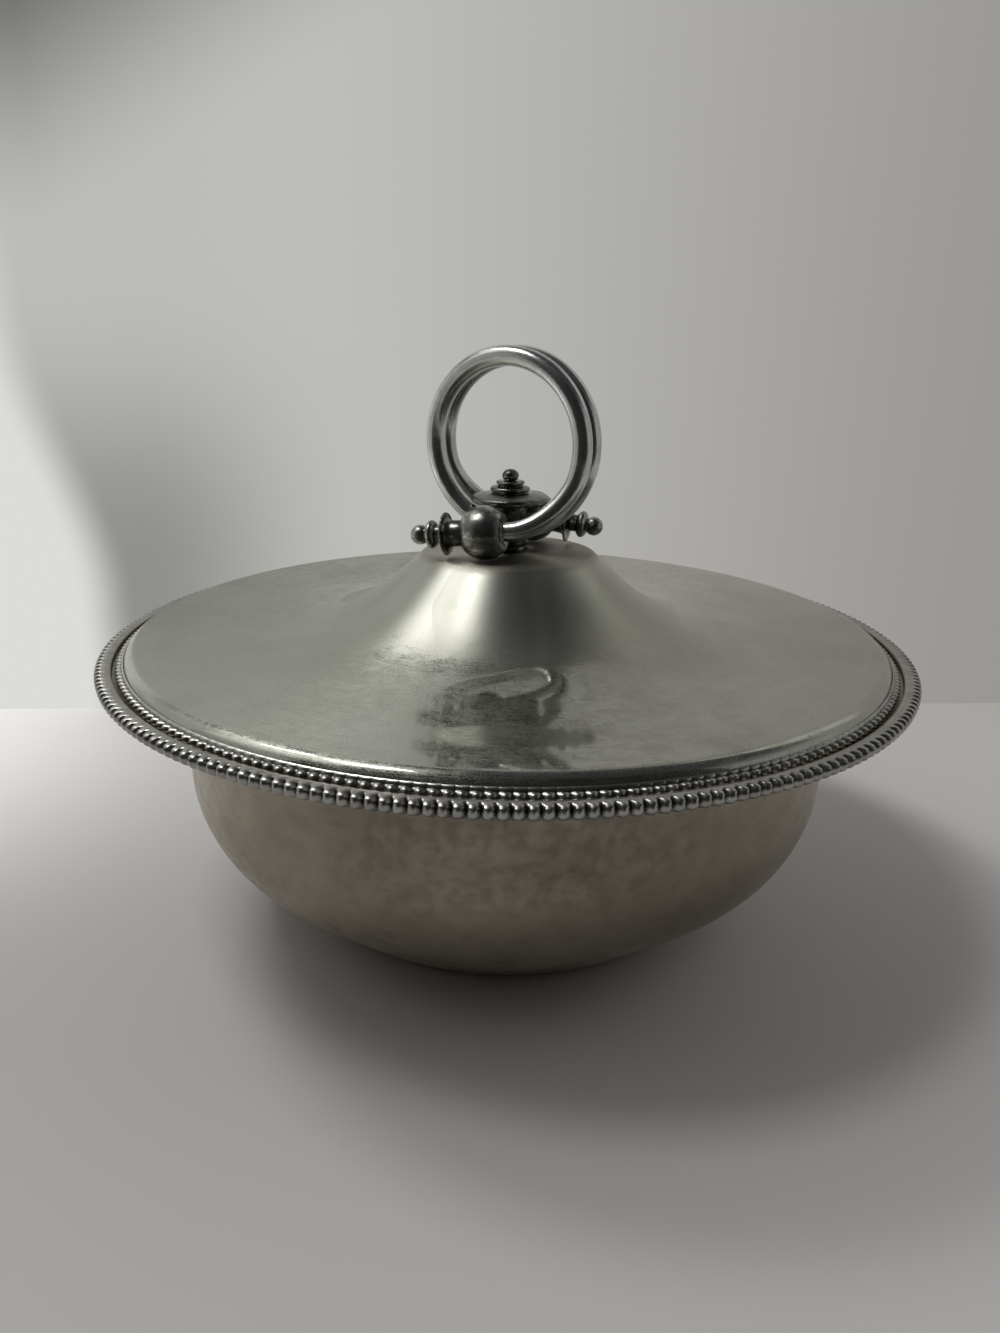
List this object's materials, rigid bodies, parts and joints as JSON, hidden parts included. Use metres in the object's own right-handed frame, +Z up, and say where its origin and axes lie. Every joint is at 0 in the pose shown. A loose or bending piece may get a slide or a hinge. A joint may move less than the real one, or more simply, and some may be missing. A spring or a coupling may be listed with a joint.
{
  "type": "covered serving bowl",
  "caption": "Round spun-metal serving bowl with a beaded flange, and a domed lid that lifts off by a coiled wire handle with turned finials.",
  "frame": {"origin": "on the table, under the middle of the bowl's foot", "axes": "+Z up along the axis of the bowl; the ring of the coiled handle stands in the XZ plane, with its front finial on the -Y side, pointing to -X"},
  "size_m": [0.267, 0.267, 0.1853],
  "materials": {
    "bowl_satin": "warm grey satin, brushed round, stained and worn",
    "lid_satin": "grey satin with fine brush lines round the axis, scuffed and spotted",
    "polished_wire": "polished, lightly scratched",
    "darkened_fittings": "polished high points over dark patina",
    "plated_fixings": "dull plating"
  },
  "bodies": {
    "bowl_body": {"bowl": "bowl_satin"},
    "lid_body": {"lid": "lid_satin", "handle_coil": "polished_wire", "collar": "darkened_fittings", "saddle": "darkened_fittings", "cap": "darkened_fittings", "top_finial": "darkened_fittings", "front_finial": "darkened_fittings", "rear_finial": "darkened_fittings", "washer": "plated_fixings", "nut": "plated_fixings"}
  },
  "joints": [
    {"name": "lid_lift", "type": "slide", "parent": "bowl_body", "child": "lid_body", "axis": [0, 0, 1], "range_m": [0, 0.15]}
  ]
}
